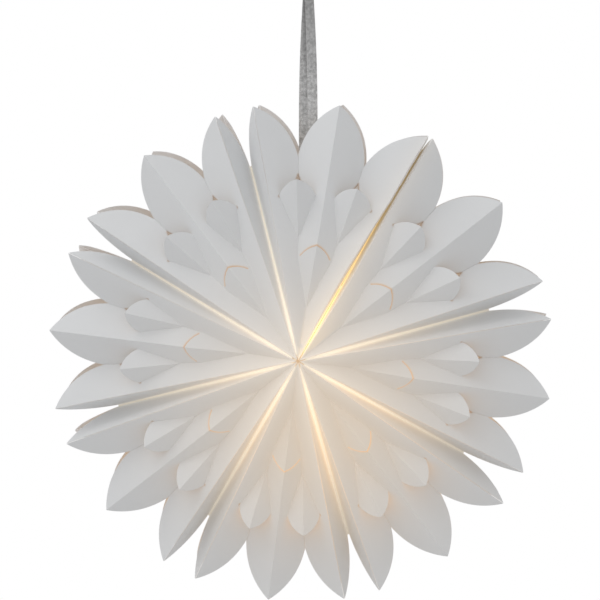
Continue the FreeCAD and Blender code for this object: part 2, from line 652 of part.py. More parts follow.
def make_lamp():
    root = THREAD_RADIUS - THREAD_DEPTH
    hollow = root - CAP_WALL
    cap = [lamp_line((CAP_DOME_RADIUS, CAP_TOP_Z), (root, THREAD_TOP_Z))]
    cap += thread_edges()
    cap += [lamp_line((root, CAP_BOTTOM_Z), (hollow, CAP_BOTTOM_Z)),
            lamp_line((hollow, CAP_BOTTOM_Z), (hollow, THREAD_TOP_Z)),
            lamp_line((hollow, THREAD_TOP_Z), (CAP_DOME_RADIUS - CAP_WALL, CAP_TOP_Z)),
            lamp_line((CAP_DOME_RADIUS - CAP_WALL, CAP_TOP_Z), (CAP_DOME_RADIUS, CAP_TOP_Z))]
    insulator = lamp_cylinder(CAP_DOME_RADIUS - CAP_WALL, CAP_TOP_Z - CAP_WALL, CAP_TOP_Z)
    contact = lamp_cylinder(LAMP_CONTACT_RADIUS, CAP_TOP_Z, CAP_TOP_Z + LAMP_CONTACT_LENGTH)
    neck = GLOBE_RADIUS - math.sqrt(GLOBE_RADIUS ** 2 - COLLAR_RADIUS ** 2)
    centre = COLLAR_BOTTOM_Z + neck - GLOBE_RADIUS
    plate_radius = COLLAR_RADIUS - 2.0 * GLOBE_WALL
    collar = lamp_revolve(lamp_outline([
        (0.0, CAP_BOTTOM_Z), (THREAD_RADIUS, CAP_BOTTOM_Z),
        (COLLAR_RADIUS, COLLAR_BOTTOM_Z + COLLAR_RIM), (COLLAR_RADIUS, COLLAR_BOTTOM_Z),
        (0.0, COLLAR_BOTTOM_Z)]))
    ball = Part.makeSphere(GLOBE_RADIUS, vec(LAMP_X, 0, centre))
    inside = Part.makeSphere(GLOBE_RADIUS - GLOBE_WALL, vec(LAMP_X, 0, centre))
    above = lamp_cylinder(2.0 * GLOBE_RADIUS, COLLAR_BOTTOM_Z, CAP_TOP_Z)
    plate = lamp_cylinder(plate_radius, COLLAR_BOTTOM_Z - LED_PLATE, COLLAR_BOTTOM_Z)
    chips = []
    for i in range(LED_CHIPS):
        turn = 2.0 * math.pi * i / LED_CHIPS
        x = LAMP_X + LED_CHIP_CIRCLE * math.cos(turn) - LED_CHIP / 2.0
        y = LED_CHIP_CIRCLE * math.sin(turn) - LED_CHIP / 2.0
        low = COLLAR_BOTTOM_Z - LED_PLATE - LED_CHIP_HEIGHT
        chips.append(Part.makeBox(LED_CHIP, LED_CHIP, LED_CHIP_HEIGHT, vec(x, y, low)))
    return {"lamp_screw_cap": lamp_revolve(cap), "lamp_cap_insulator": insulator,
            "lamp_contact": contact, "lamp_collar": collar,
            "lamp_globe": ball.cut([inside, above]), "led_plate": plate,
            "led_chips": Part.Compound(chips)}


def main():
    os.makedirs("parts", exist_ok=True)
    parts = {}
    for make in (make_leaves, make_ribs, make_rod, make_ribbon, make_knot, make_loop, make_hook,
                 make_bracket, make_holder, make_socket, make_lamp):
        parts.update(make())
    for name, shape in parts.items():
        # the origin moves to where the hook's flange meets the ceiling
        shape.translate(vec(-HANG_X, 0, -CEILING_Z))
        shape.exportStep("parts/%s.step" % name)
        box = shape.BoundBox
        print("%-22s %2d solids %10.1f mm3 valid %s  %7.1f..%6.1f %7.1f..%6.1f %7.1f..%6.1f" % (
            name, len(shape.Solids), shape.Volume, shape.isValid(),
            box.XMin, box.XMax, box.YMin, box.YMax, box.ZMin, box.ZMax))


main()
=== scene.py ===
"""A folded paper star lantern on a velvet ribbon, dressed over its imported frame."""
import math

import bmesh
import bpy
import numpy as np
from mathutils import Matrix, Vector
from mathutils.geometry import delaunay_2d_cdt


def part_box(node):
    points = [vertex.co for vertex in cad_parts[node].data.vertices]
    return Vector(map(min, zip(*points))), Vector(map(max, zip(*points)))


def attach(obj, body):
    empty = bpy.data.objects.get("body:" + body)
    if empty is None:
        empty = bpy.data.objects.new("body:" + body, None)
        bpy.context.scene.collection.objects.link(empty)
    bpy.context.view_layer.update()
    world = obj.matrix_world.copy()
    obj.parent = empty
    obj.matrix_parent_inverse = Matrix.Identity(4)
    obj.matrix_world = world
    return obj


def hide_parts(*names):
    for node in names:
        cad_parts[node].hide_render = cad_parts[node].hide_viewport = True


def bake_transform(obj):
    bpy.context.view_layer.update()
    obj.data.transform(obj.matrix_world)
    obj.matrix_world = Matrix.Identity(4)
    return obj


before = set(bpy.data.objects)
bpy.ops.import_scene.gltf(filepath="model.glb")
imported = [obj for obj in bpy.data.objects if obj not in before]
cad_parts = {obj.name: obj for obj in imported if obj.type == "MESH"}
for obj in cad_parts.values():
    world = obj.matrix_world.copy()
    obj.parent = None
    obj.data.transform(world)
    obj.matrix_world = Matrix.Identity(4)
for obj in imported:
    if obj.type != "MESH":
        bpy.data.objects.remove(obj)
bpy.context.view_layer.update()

bl_info = {
    "name": "Folded Paper Star Lantern",
    "version": (1, 0, 0),
    "blender": (4, 5, 0),
    "location": "View3D > Sidebar > Star Lantern",
    "description": "Makes the leaves, ribbon, lamp finishes and stage of a paper star pendant",
    "category": "Object",
}

MM = 0.001
STAR_CENTRE = Vector((-7.3, 0.0, -434.8)) * MM      # from the hook's flange on the ceiling
LAMP_OFFSET = Vector((18.0, -20.0, -65.0)) * MM     # where the lamp's light shows most
STAR_BODY = "star"
SIDES = {"left": 1, "right": -1}
CUT_CORNERS = ("hole_tip", "slit_tip")      # an arc to or from one of these is a cut
FAR_FROM_CUT = 0.02          # metres, from which on no cut is noticed
WELD_DISTANCE = 2e-6         # metres, between the panels' points on a crease
MERGE_DISTANCE = 1e-6        # metres, between the points of a sheet's two sides at its edge
EDGE_CLEARANCE = 0.45        # steps of the mesh between its edge and the first inner points
BLACK = (0.0, 0.0, 0.0)


# ---------------------------------------------------------------- objects and meshes

def added(name, data):
    """Adds an object with the data to the scene."""
    obj = bpy.data.objects.new(name, data)
    bpy.context.collection.objects.link(obj)
    return obj


def evaluated(obj):
    """The mesh that an object's modifiers or curve settings give."""
    graph = bpy.context.evaluated_depsgraph_get()
    return bpy.data.meshes.new_from_object(obj.evaluated_get(graph), depsgraph=graph)


def new_mesh(name, points, faces):
    mesh = bpy.data.meshes.new(name)
    mesh.from_pydata(points, [], faces)
    return mesh


def reworked(mesh, change):
    """Runs one change on a mesh's points and faces and keeps the result."""
    work = bmesh.new()
    work.from_mesh(mesh)
    change(work)
    work.to_mesh(mesh)
    work.free()
    return mesh


def keep_values(mesh, name, values):
    """Keeps one number for each point of a mesh under a name."""
    mesh.attributes.new(name, "FLOAT", "POINT").data.foreach_set("value", values)


# ---------------------------------------------------------------- settings

def length(name, description, default, low=0.0):
    return bpy.props.FloatProperty(name=name, description=description, default=default,
                                   min=low, unit="LENGTH", precision=5)


def angle(name, description, degrees):
    return bpy.props.FloatProperty(name=name, description=description,
                                   default=math.radians(degrees), subtype="ANGLE")


def share(name, description, default):
    return bpy.props.FloatProperty(name=name, description=description, default=default,
                                   min=0.0, max=1.0, subtype="FACTOR")


def amount(name, description, default):
    return bpy.props.FloatProperty(name=name, description=description, default=default, min=0.0)


def colour(name, description, default):
    return bpy.props.FloatVectorProperty(name=name, description=description, default=default,
                                         size=3, min=0.0, max=1.0, subtype="COLOR")


class LeafSettings(bpy.types.PropertyGroup):
    """The creases of one leaf of pleated paper, which all start at the star's centre."""
    segments: bpy.props.IntProperty(name="Segments", description="Leaves on each side",
                                    default=8, min=3)
    first_angle: angle("First segment", "Direction of the topmost leaf's middle", 82.5)
    paper: length("Paper", "Thickness of the paper", 0.0004)
    crease_start: length("Crease start", "How far from the axis the creases start", 0.003)
    point_radius: length("Centre hole", "Radius left open between the leaves' points", 0.0012)
    apex_depth: length("Half depth", "Half the star's depth at its centre", 0.060)
    tip_radius: length("Petal radius", "Length of the petals seen from the front", 0.247)
    tip_depth: length("Petal depth", "Depth of the petals' tips", 0.028)
    notch_radius: length("Notch radius", "Where neighbouring petals part", 0.193)
    notch_depth: length("Notch depth", "Depth of the notches", 0.015)
    seam_radius: length("Seam radius", "Where the leaf ends at the seam", 0.190)
    seam_depth: length("Seam depth", "Depth of the seam's outer end", 0.001)
    ridge_angle: angle("Outer ridge", "Outer ridges, from the leaf's middle", 18.5)
    bulge: share("Petal bulge", "How far an outline bows, as a share of its chord", 0.14)
    small_bulge: share("Small petal bulge", "The same for the small petals and cuts", 0.11)
    inner_fold: length("Inner petal foot", "Where the inner petal leaves the middle", 0.047)
    inner_side: length("Inner petal side", "Where its cut edge begins", 0.094)
    inner_tip: length("Inner petal tip", "Radius of its cut's tip", 0.110)
    inner_trim: length("Inner petal trim", "Cut off the inner petal's tip", 0.0035)
    middle_fold: length("Small petal foot", "Where a small petal leaves its valley", 0.114)
    middle_side: length("Small petal side", "Length of its side folds", 0.0455)
    middle_angle: angle("Small petal angle", "Between a side fold and the valley", 26.0)
    middle_tip: length("Small petal tip", "Radius of its cut's tip", 0.176)
    middle_trim: length("Small petal trim", "Cut off a small petal's tip", 0.002)
    grain: length("Mesh step", "Distance between points of the paper", 0.0045, 0.001)
    wave_height: length("Wave height", "How far the paper leaves its flat panels", 0.0012)
    wave_size: length("Wave size", "Size of the paper's waves", 0.055, 0.001)
    seed: bpy.props.IntProperty(name="Seed", description="Picks the paper's waves", default=4)
    closure_pull: angle("Closure pull", "How far the closing seam draws its petals in", 3.0)
    sag: angle("Sag", "How far the star's sides hang down round its axis", 1.9)
    rear_lean: angle("Rear lean", "How far the rear petals are turned from the front ones", -0.55)


class PaperFinish(bpy.types.PropertyGroup):
    """The paper's colour and the warm light that comes through it."""
    paper: colour("Paper", "Colour of the paper outside", (0.765, 0.775, 0.785))
    inside: colour("Inside", "Light on the inner side, near the lamp", (0.62, 0.34, 0.12))
    glow: colour("Glow", "Light that leaves along the seams", (1.0, 0.88, 0.70))
    closure_glow: colour("Closing glow", "Light at the closing seam", (1.0, 0.66, 0.26))
    cut_glow: colour("Cut glow", "Light along the cuts behind the petals", (0.75, 0.42, 0.16))
    # Painted shade: the brownish colour that the base colour darkens to along the cuts, for the
    # shadow in the gap behind each petal
    cut_edge: colour("Cut edge", "Colour of the paper along the cuts", (0.42, 0.31, 0.23))
    # Painted lamp light: the base colour that the paper is warmed to near the lamp, for light
    # shining through it
    warm: colour("Warm paper", "Colour of the paper in front of the lamp", (0.87, 0.75, 0.62))
    through: colour("Light through", "Light through the paper by the lamp", (0.115, 0.080, 0.040))
    line_light: share("Seam line", "Strength of the bright line on the seams", 0.30)
    closing_light: amount("Closing line", "How much light the closing seam adds to it", 1.2)
    warmth: share("Warmth", "How far the lamp tints the paper in front of it", 0.75)
    # How strongly that painted shade along the cuts is laid on
    cut_shade: share("Cut shade", "How far the paper darkens along the cuts", 0.85)


class RibbonSettings(bpy.types.PropertyGroup):
    """The velvet ribbon, its knot and its loop."""
    width: length("Width", "Width of the ribbon", 0.0100, 0.001)
    thickness: length("Thickness", "Thickness of ribbon and pile", 0.0010, 0.0002)
    twist: angle("Twist", "How far the strands are turned under the knot", 34.0)
    twist_length: length("Twist length", "How far down the turn reaches", 0.16, 0.001)
    velvet: colour("Velvet", "Colour of the pile", (0.54, 0.54, 0.54))
    unlit: colour("Unlit velvet", "What it darkens to, high over the star", (0.08, 0.08, 0.08))


class StageSettings(bpy.types.PropertyGroup):
    """The camera's place, the lamps and the floor."""
    elevation: angle("Elevation", "Height of the camera over the horizon", 7.0)
    azimuth: angle("Azimuth", "Turn of the camera to the right", 2.4)
    distance: length("Distance", "From the camera to the star's front", 1.8, 0.1)
    field: length("Field", "Width of the view at the star's front", 0.581, 0.01)
    world: amount("World", "Strength of the soft light all round", 0.66)
    key: amount("Key lamp", "Power of the large lamp above, in watts", 5.0)
    floor: colour("Floor", "Colour of the floor", (0.85, 0.85, 0.85))


# ---------------------------------------------------------------- shader maths

class Sock:
    """A node socket on which Python's operators add Math nodes."""

    def __init__(self, tree, socket):
        self.tree = tree
        self.socket = socket

    def math(self, operation, *others):
        return node(self.tree, "ShaderNodeMath", {"operation": operation}, [self, *others])

    def __add__(self, other):
        return self.math("ADD", other)

    def __sub__(self, other):
        return self.math("SUBTRACT", other)

    def __rsub__(self, other):
        return node(self.tree, "ShaderNodeMath", {"operation": "SUBTRACT"}, [other, self])

    def __mul__(self, other):
        return self.math("MULTIPLY", other)

    def __truediv__(self, other):
        return self.math("DIVIDE", other)

    def __rtruediv__(self, other):
        return node(self.tree, "ShaderNodeMath", {"operation": "DIVIDE"}, [other, self])

    def clamped(self):
        return self.math("MAXIMUM", 0.0).math("MINIMUM", 1.0)

    def fading(self, reach):
        """1 at zero, falling smoothly to nothing a few times reach away."""
        return node(self.tree, "ShaderNodeMath", {"operation": "EXPONENT"},
                    [(self / reach) * (self / reach) * -1.0])

    __radd__ = __add__


def node(tree, kind, settings=None, inputs=(), output=0):
    """Adds a node: its settings first, then the values or links of its sockets."""
    made = tree.nodes.new(kind)
    for key, value in (settings or {}).items():
        setattr(made, key, value)
    pairs = inputs.items() if isinstance(inputs, dict) else enumerate(inputs)
    for key, value in pairs:
        if isinstance(value, Sock):
            tree.links.new(value.socket, made.inputs[key])
        else:
            made.inputs[key].default_value = value
    return Sock(tree, made.outputs[output])


def ramp(value, start, end):
    """0 up to the start, 1 from the end on, and a straight rise between them."""
    return ((value - start) / (end - start)).clamped()


def mix(tree, factor, first, second, blend="MIX"):
    """A mix of two colours, by its factor."""
    colours = [value if isinstance(value, Sock) else (*value, 1.0) for value in (first, second)]
    settings = {"data_type": "RGBA", "blend_type": blend}
    return node(tree, "ShaderNodeMix", settings, {0: factor, 6: colours[0], 7: colours[1]}, 2)


def object_place(tree):
    return node(tree, "ShaderNodeTexCoord", output=3)


def noise(tree, place, scale, detail=2.0):
    return node(tree, "ShaderNodeTexNoise", None,
                {"Vector": place, "Scale": scale, "Detail": detail})


def bump(tree, height, strength, distance):
    return node(tree, "ShaderNodeBump", None,
                {"Height": height, "Strength": strength, "Distance": distance})


def attribute(tree, name, output=2):
    """A number kept on the mesh, or its vector with output 1."""
    return node(tree, "ShaderNodeAttribute", {"attribute_name": name}, output=output)


def parts_of(tree, vector):
    """The three numbers of a vector."""
    split = node(tree, "ShaderNodeSeparateXYZ", None, [vector])
    return [Sock(tree, split.socket.node.outputs[axis]) for axis in range(3)]


def distance_from(tree, place, point):
    return node(tree, "ShaderNodeVectorMath", {"operation": "DISTANCE"}, [place, point], 1)


def material(name, constants, links):
    """A material with one Principled shader. links(tree) gives its linked inputs."""
    made = bpy.data.materials.new(name)
    made.use_nodes = True
    tree = made.node_tree
    shader = next(n for n in tree.nodes if n.type == "BSDF_PRINCIPLED")
    for key, value in constants.items():
        shader.inputs[key].default_value = value
    for key, value in links(tree).items():
        tree.links.new(value.socket, shader.inputs[key])
    return made


# ---------------------------------------------------------------- finishes

def times(base, factor):
    """The colour, lighter or darker by the factor and never over 1."""
    return [min(1.0, channel * factor) for channel in base]


def tinted(tree, base, spread, scale):
    """The base colour, a little lighter and darker over the surface."""
    cloud = noise(tree, object_place(tree), scale)
    return mix(tree, cloud, times(base, 1.0 - spread), times(base, 1.0 + spread))


# Distances on the paper, in metres. The ones that start with FROM are measured from the axis.
SEAM_LINE = 0.0018           # reach of the bright line on a seam
SEAM_GLOW = 0.010            # reach of the soft light beside it
FOLD_GLOW = 0.020            # reach of the light in the closing seam's narrow fold
CUT_LINE = 0.0015            # reach of the light and the shade along a cut
LAMP_REACH = 0.115           # how far the lamp warms the paper's outside
INNER_LAMP_REACH = 0.12
FROM_SEAM_START = 0.03       # full light on the seams
FROM_SEAM_END = 0.22         # no more light on them
FROM_CUTS = (0.02, 0.03)             # the cuts' light and shade start and are full
FROM_INNER_PETALS = (0.12, 0.15)     # the extra light by the inner petals fades and ends
FROM_LIT_INSIDE = (0.03, 0.08)       # the inner side's light starts and is full
CLOUD_SHARE = 0.6            # of the paper's tone, the fibres make the rest
PAPER_TONES = (0.965, 1.03)  # darkest and lightest, times the paper's colour
FAR_INSIDE = 0.06            # the inner side's light far from the lamp, as a share


def seam_light(tree, finish, along, off_seam, near_lamp):
    """Light along the seams: a bright line and a soft glow, more of both at the closing seam."""
    closing = attribute(tree, "closing")
    reach = (1.0 - along / FROM_SEAM_END).clamped() * ramp(along, 0.0, FROM_SEAM_START)
    line = off_seam.fading(SEAM_LINE) * (0.06 + reach * finish.line_light)
    wide = off_seam.fading(SEAM_GLOW) * (0.01 + reach * 0.04 + near_lamp * 0.06)
    folded_in = off_seam.fading(FOLD_GLOW) * closing * 0.10
    closing_light = closing * (wide * 0.3 + line * finish.closing_light)
    amount_of_light = (line + wide + closing_light + folded_in).clamped()
    tint = mix(tree, closing, finish.glow, finish.closure_glow)
    return mix(tree, amount_of_light, BLACK, tint)


def paper_material(leaf, finish):
    """Matt paper: fibres, warm light along seams and cuts, and a lit inner side."""
    half_segment = math.pi / leaf.segments

    def links(tree):
        place = object_place(tree)
        along, across, _ = parts_of(tree, attribute(tree, "leaf_place", 1))
        off_seam = (along * math.sin(half_segment)
                    - across.math("ABSOLUTE") * math.cos(half_segment))
        inner = attribute(tree, "inner")
        fibres = noise(tree, place, scale=900.0, detail=4.0)
        cloud = noise(tree, place, scale=22.0)
        lamp_away = distance_from(tree, place, STAR_CENTRE + LAMP_OFFSET)
        near_lamp = lamp_away.fading(LAMP_REACH)
        cut = (attribute(tree, "cut_distance").fading(CUT_LINE) * (1.0 - inner)
               * ramp(along, *FROM_CUTS))
        by_inner_petal = 1.0 - ramp(along, *FROM_INNER_PETALS)

        dark, light = (times(finish.paper, tone) for tone in PAPER_TONES)
        shade = mix(tree, cloud * CLOUD_SHARE + fibres * (1.0 - CLOUD_SHARE), dark, light)
        # Painted lamp light: near the lamp the base colour turns warm, for the light that comes
        # through the paper
        shade = mix(tree, near_lamp * finish.warmth, shade, finish.warm)
        # Painted shade: the paper darkens along the cuts, standing in for the shadow in the gaps
        # behind the petals
        shade = mix(tree, cut * finish.cut_shade, shade, finish.cut_edge)

        cut_light = mix(tree, cut * (0.05 + by_inner_petal * 0.22 + near_lamp * 0.5), BLACK,
                        finish.cut_glow)
        outside = mix(tree, 1.0, seam_light(tree, finish, along, off_seam, near_lamp), cut_light,
                      "ADD")
        outside = mix(tree, 1.0, outside, mix(tree, near_lamp, BLACK, finish.through), "ADD")
        inside = mix(tree, lamp_away.fading(INNER_LAMP_REACH) * ramp(along, *FROM_LIT_INSIDE),
                     times(finish.inside, FAR_INSIDE), finish.inside)
        return {
            "Base Color": shade,
            "Emission Color": mix(tree, inner, outside, inside),
            "Roughness": fibres * 0.12 + 0.8,
            "Normal": bump(tree, fibres, strength=0.12, distance=0.0002),
        }

    return material("lantern_paper", {"Emission Strength": 1.0, "Specular IOR Level": 0.3}, links)


RIB_LIGHT_END = 0.26         # from the star's centre, no more light on the ribs
RIB_LIGHT_START = 0.05
RIB_LIGHT = 0.42


def rib_material(name, glow):
    """Card whose edge shows in the seam, lit by the lamp and fainter outwards."""
    def links(tree):
        place = object_place(tree)
        fibres = noise(tree, place, scale=500.0, detail=4.0)
        out = distance_from(tree, place, STAR_CENTRE)
        fall = (1.0 - out / RIB_LIGHT_END).clamped()
        lit = fall * ramp(out, 0.0, RIB_LIGHT_START) * RIB_LIGHT + fibres * 0.05
        return {
            "Base Color": tinted(tree, (0.78, 0.74, 0.66), spread=0.05, scale=60.0),
            "Emission Color": mix(tree, lit, BLACK, glow),
            "Normal": bump(tree, fibres, strength=0.2, distance=0.0002),
        }

    return material(name, {"Emission Strength": 1.0, "Roughness": 0.85}, links)


UNLIT_HEIGHTS = (0.25, 0.35)     # over the star's centre, where the ribbon leaves its light
TUFT_SHARE = 0.45                # of the pile's tone, the nap makes the rest
PILE_CONTRAST = 3.2
# The lightest tone is partly the pile's own and partly a painted sheen where crushed pile would
# catch the light
PILE_TONE_AND_SHEEN = (0.62, 1.45)        # darkest and lightest, times the velvet's colour


def velvet_material(ribbon):
    """Short pile: tiny tufts, crushed patches that vary the pile's tone with their lightest parts
    a painted sheen, and a soft sheen.
    """
    def links(tree):
        place = object_place(tree)
        tufts = noise(tree, place, scale=1500.0, detail=3.0)
        nap = noise(tree, place, scale=330.0, detail=3.0)
        pile = tufts * TUFT_SHARE + nap * (1.0 - TUFT_SHARE)
        crushed = ((pile - 0.5) * PILE_CONTRAST + 0.5).clamped()
        dark, light = (times(ribbon.velvet, tone) for tone in PILE_TONE_AND_SHEEN)
        # Crushed patches: tone that varies over the pile, partly a painted sheen in the base
        # colour
        shade = mix(tree, crushed, dark, light)
        height = parts_of(tree, place)[2] - STAR_CENTRE.z
        shade = mix(tree, ramp(height, *UNLIT_HEIGHTS) * 0.38, shade, ribbon.unlit)
        return {
            "Base Color": shade,
            "Roughness": nap * 0.15 + 0.8,
            "Normal": bump(tree, tufts, strength=0.6, distance=0.0004),
        }

    sheen = {"Sheen Weight": 0.35, "Sheen Roughness": 0.45, "Specular IOR Level": 0.2}
    return material("grey_velvet", sheen, links)


def metal_material(name, tint, rough):
    """Metal with fine drawn streaks and slightly uneven polish."""
    def links(tree):
        place = node(tree, "ShaderNodeMapping", None,
                     {"Vector": object_place(tree), "Scale": (1.0, 1.0, 0.08)})
        streaks = noise(tree, place, scale=700.0, detail=3.0)
        wear = noise(tree, object_place(tree), scale=90.0, detail=3.0)
        return {
            "Base Color": mix(tree, wear, times(tint, 0.86), tint),
            "Roughness": streaks * 0.16 + wear * 0.08 + (rough - 0.12),
            "Normal": bump(tree, streaks, strength=0.15, distance=0.0001),
        }

    return material(name, {"Metallic": 1.0}, links)


def moulded_material(name, tint, rough, glow=None):
    """Moulded plastic, board or fired clay: a fine skin over an even colour."""
    def links(tree):
        skin = noise(tree, object_place(tree), scale=1400.0, detail=2.0)
        linked = {
            "Base Color": tinted(tree, tint, spread=0.03, scale=45.0),
            "Roughness": skin * 0.1 + (rough - 0.05),
            "Normal": bump(tree, skin, strength=0.1, distance=0.0001),
        }
        if glow:
            linked["Emission Color"] = tinted(tree, glow, spread=0.05, scale=70.0)
        return linked

    return material(name, {"Emission Strength": 1.0 if glow else 0.0}, links)


# ---------------------------------------------------------------- the leaf of pleated paper

def flat_normal(a, b, c):
    """Unit normal of the plane through three points, turned to the front."""
    normal = (b - a).cross(c - a).normalized()
    return normal if normal.z > 0.0 else -normal


def mirrored(point, a, b, c):
    normal = flat_normal(a, b, c)
    return point - normal * (2.0 * (point - a).dot(normal))


def trimmed(tip, foot, trim):
    """The tip moved back towards the foot."""
    return tip + (foot - tip).normalized() * trim


class Leaf:
    """Corners and panels of one leaf: x along its middle, y across it, z to the front."""

    def __init__(self, size):
        self.size = size
        self.point = Vector((size.crease_start, 0.0, size.apex_depth))
        self.corners = self.make_corners()

    def crease(self, turn, end_radius, end_depth, radius):
        """A point on the straight crease from the leaf's point to its end."""
        drop = (self.size.apex_depth - end_depth) * radius / end_radius
        return self.point + Vector((radius * math.cos(turn), radius * math.sin(turn), -drop))

    def ridge(self, side, radius):
        size = self.size
        return self.crease(side * size.ridge_angle, size.tip_radius, size.tip_depth, radius)

    def valley(self, side, radius):
        size = self.size
        turn = side * size.ridge_angle / 2.0
        return self.crease(turn, size.notch_radius, size.notch_depth, radius)

    def middle_valley(self, radius):
        """Where the two outer panels would meet on the leaf's middle."""
        size = self.size
        normal = flat_normal(self.point, self.ridge(1, size.tip_radius),
                             self.valley(1, size.notch_radius))
        direction = normal.cross(Vector((0.0, 1.0, 0.0)))
        return self.point + direction * (radius / direction.x)

    def fold_end(self, side, towards):
        """The widest point of a small petal, on the panel that holds towards."""
        size = self.size
        start = self.valley(side, size.middle_fold)
        along = (self.valley(side, size.notch_radius) - start).normalized()
        across = towards - start
        across = (across - along * across.dot(along)).normalized()
        turn = size.middle_angle
        return start + (along * math.cos(turn) + across * math.sin(turn)) * size.middle_side

    def make_corners(self):
        size = self.size
        half_segment = math.pi / size.segments
        mid_tip = self.crease(0.0, size.tip_radius, size.tip_depth, size.tip_radius)
        corners = {
            "point": Vector((size.point_radius, 0.0, size.apex_depth)),
            "mid_tip": mid_tip,
            "inner_fold": self.middle_valley(size.inner_fold),
            "slit_tip": self.crease(0.0, size.tip_radius, size.tip_depth, size.inner_tip),
        }
        for name, side in SIDES.items():
            outer = self.fold_end(side, self.ridge(side, size.tip_radius))
            inner = self.fold_end(side, mid_tip)
            fold = self.valley(side, size.middle_fold)
            hole_tip = self.valley(side, size.middle_tip)
            corners.update({
                name + "_tip": self.ridge(side, size.tip_radius),
                name + "_notch": self.valley(side, size.notch_radius),
                name + "_seam": self.crease(side * half_segment, size.seam_radius,
                                            size.seam_depth, size.seam_radius),
                name + "_inner_side": self.valley(side, size.inner_side),
                name + "_fold": fold,
                name + "_hole_tip": hole_tip,
                name + "_outer_side": outer,
                name + "_middle_side": inner,
                name + "_petal_tip": trimmed(mirrored(hole_tip, fold, outer, inner), fold,
                                             size.middle_trim),
            })
        foot = corners["inner_fold"]
        tip = mirrored(self.middle_valley(size.inner_tip), foot, corners["left_inner_side"],
                       corners["right_inner_side"])
        corners["inner_petal_tip"] = trimmed(tip, foot, size.inner_trim)
        return corners

    def panels(self):
        """Corner names of each flat panel, with a * before one that an arc leads to."""
        pattern = (
            "point {0}_tip *{0}_seam",
            "point {0}_tip *{0}_notch {0}_hole_tip *{0}_outer_side {0}_fold {0}_inner_side"
            " inner_fold",
            "mid_tip *{0}_notch {0}_hole_tip *{0}_middle_side {0}_fold {0}_inner_side *slit_tip",
            "{0}_fold {0}_outer_side *{0}_petal_tip",
            "{0}_fold {0}_middle_side *{0}_petal_tip",
            "inner_fold {0}_inner_side *inner_petal_tip",
        )
        return [line.format(side).split() for side in SIDES for line in pattern]

    def bow(self, ends, is_cut, centre):
        """From the middle of an arc's chord to the arc, which bows into the panel on a cut."""
        start, end = (self.corners[corner] for corner in ends)
        chord = end - start
        out = (start + end) / 2.0 - centre
        out = (out - chord * (out.dot(chord) / chord.length_squared)).normalized()
        is_small = is_cut or any("petal_tip" in corner for corner in ends)
        bulge = self.size.small_bulge if is_small else self.size.bulge
        return out * (chord.length * bulge * (-1.0 if is_cut else 1.0))

    def outline(self, panel):
        """The panel's edge as closely set points, and which of them start a step of a cut."""
        names = [name.lstrip("*") for name in panel]
        centre = sum((self.corners[name] for name in names), Vector()) / len(names)
        points, on_cut = [], []
        for index, name in enumerate(panel):
            ends = (names[index - 1], names[index])
            start, end = (self.corners[corner] for corner in ends)
            is_arc = name.startswith("*")
            is_cut = is_arc and any(corner.endswith(CUT_CORNERS) for corner in ends)
            bow = self.bow(ends, is_cut, centre) if is_arc else Vector()
            chord = end - start
            steps = max(2, round(chord.length / self.size.grain))
            for step in range(steps):
                along = step / steps
                points.append(start + chord * along + bow * (4.0 * along * (1.0 - along)))
                on_cut.append(is_cut)
        return points, on_cut


def inner_points(flat, step):
    """Points of an even triangular grid inside a flat outline, clear of its edge."""
    low, high = flat.min(0), flat.max(0)
    row_height = step * math.sqrt(0.75)
    inside = []
    for row in range(int((high[1] - low[1]) / row_height) + 1):
        for column in range(int((high[0] - low[0]) / step) + 2):
            place = low + np.array([(column - 0.5 * (row % 2)) * step, row * row_height])
            if inset(place, flat) > EDGE_CLEARANCE * step:
                inside.append(place)
    return inside


def panel_mesh(outline, on_cut, step):
    """A flat panel filled with even triangles: points, faces, and insets from edge and cut.

    The triangulation's 1 keeps what lies inside the outline, and points nearer than 1e-7 m join.
    """
    origin = outline[0]
    normal = Vector()
    for index, point in enumerate(outline):
        normal += (outline[index - 1] - origin).cross(point - origin)
    normal.normalize()
    if normal.z < 0.0:
        normal.negate()
    axis_u = (outline[1] - origin).normalized()
    axis_v = normal.cross(axis_u)
    flat = np.array([((p - origin).dot(axis_u), (p - origin).dot(axis_v)) for p in outline])
    places = [Vector(p) for p in flat] + [Vector(p) for p in inner_points(flat, step)]
    count = len(flat)
    edges = [(i, (i + 1) % count) for i in range(count)]
    verts, _, faces, _, _, _ = delaunay_2d_cdt(places, edges, [list(range(count))], 1, 1e-7)
    points = [origin + axis_u * p.x + axis_v * p.y for p in verts]
    insets = [max(0.0, inset(np.array(p), flat)) for p in verts]
    cut = flat[[i for i in range(count) if on_cut[i] or on_cut[i - 1]]] if any(on_cut) else None
    cuts = [FAR_FROM_CUT if cut is None else cut_distance(np.array(p), cut) for p in verts]
    return points, faces, insets, cuts


def cut_distance(place, cut):
    """Distance from the nearest point of a cut, no more than FAR_FROM_CUT."""
    return min(FAR_FROM_CUT, float(np.hypot(*(cut - place).T).min()))


def inset(place, outline):
    """Distance from a flat outline, positive inside it."""
    nexts = np.roll(outline, -1, axis=0)
    run = nexts - outline
    share_along = np.clip(((place - outline) * run).sum(1) / (run * run).sum(1), 0.0, 1.0)
    gap = np.hypot(*(outline + run * share_along[:, None] - place).T).min()
    crosses = (outline[:, 1] > place[1]) != (nexts[:, 1] > place[1])
    rise = np.where(run[:, 1] == 0.0, 1.0, run[:, 1])
    cut = outline[:, 0] + run[:, 0] * (place[1] - outline[:, 1]) / rise
    return gap if (crosses & (place[0] < cut)).sum() % 2 else -gap


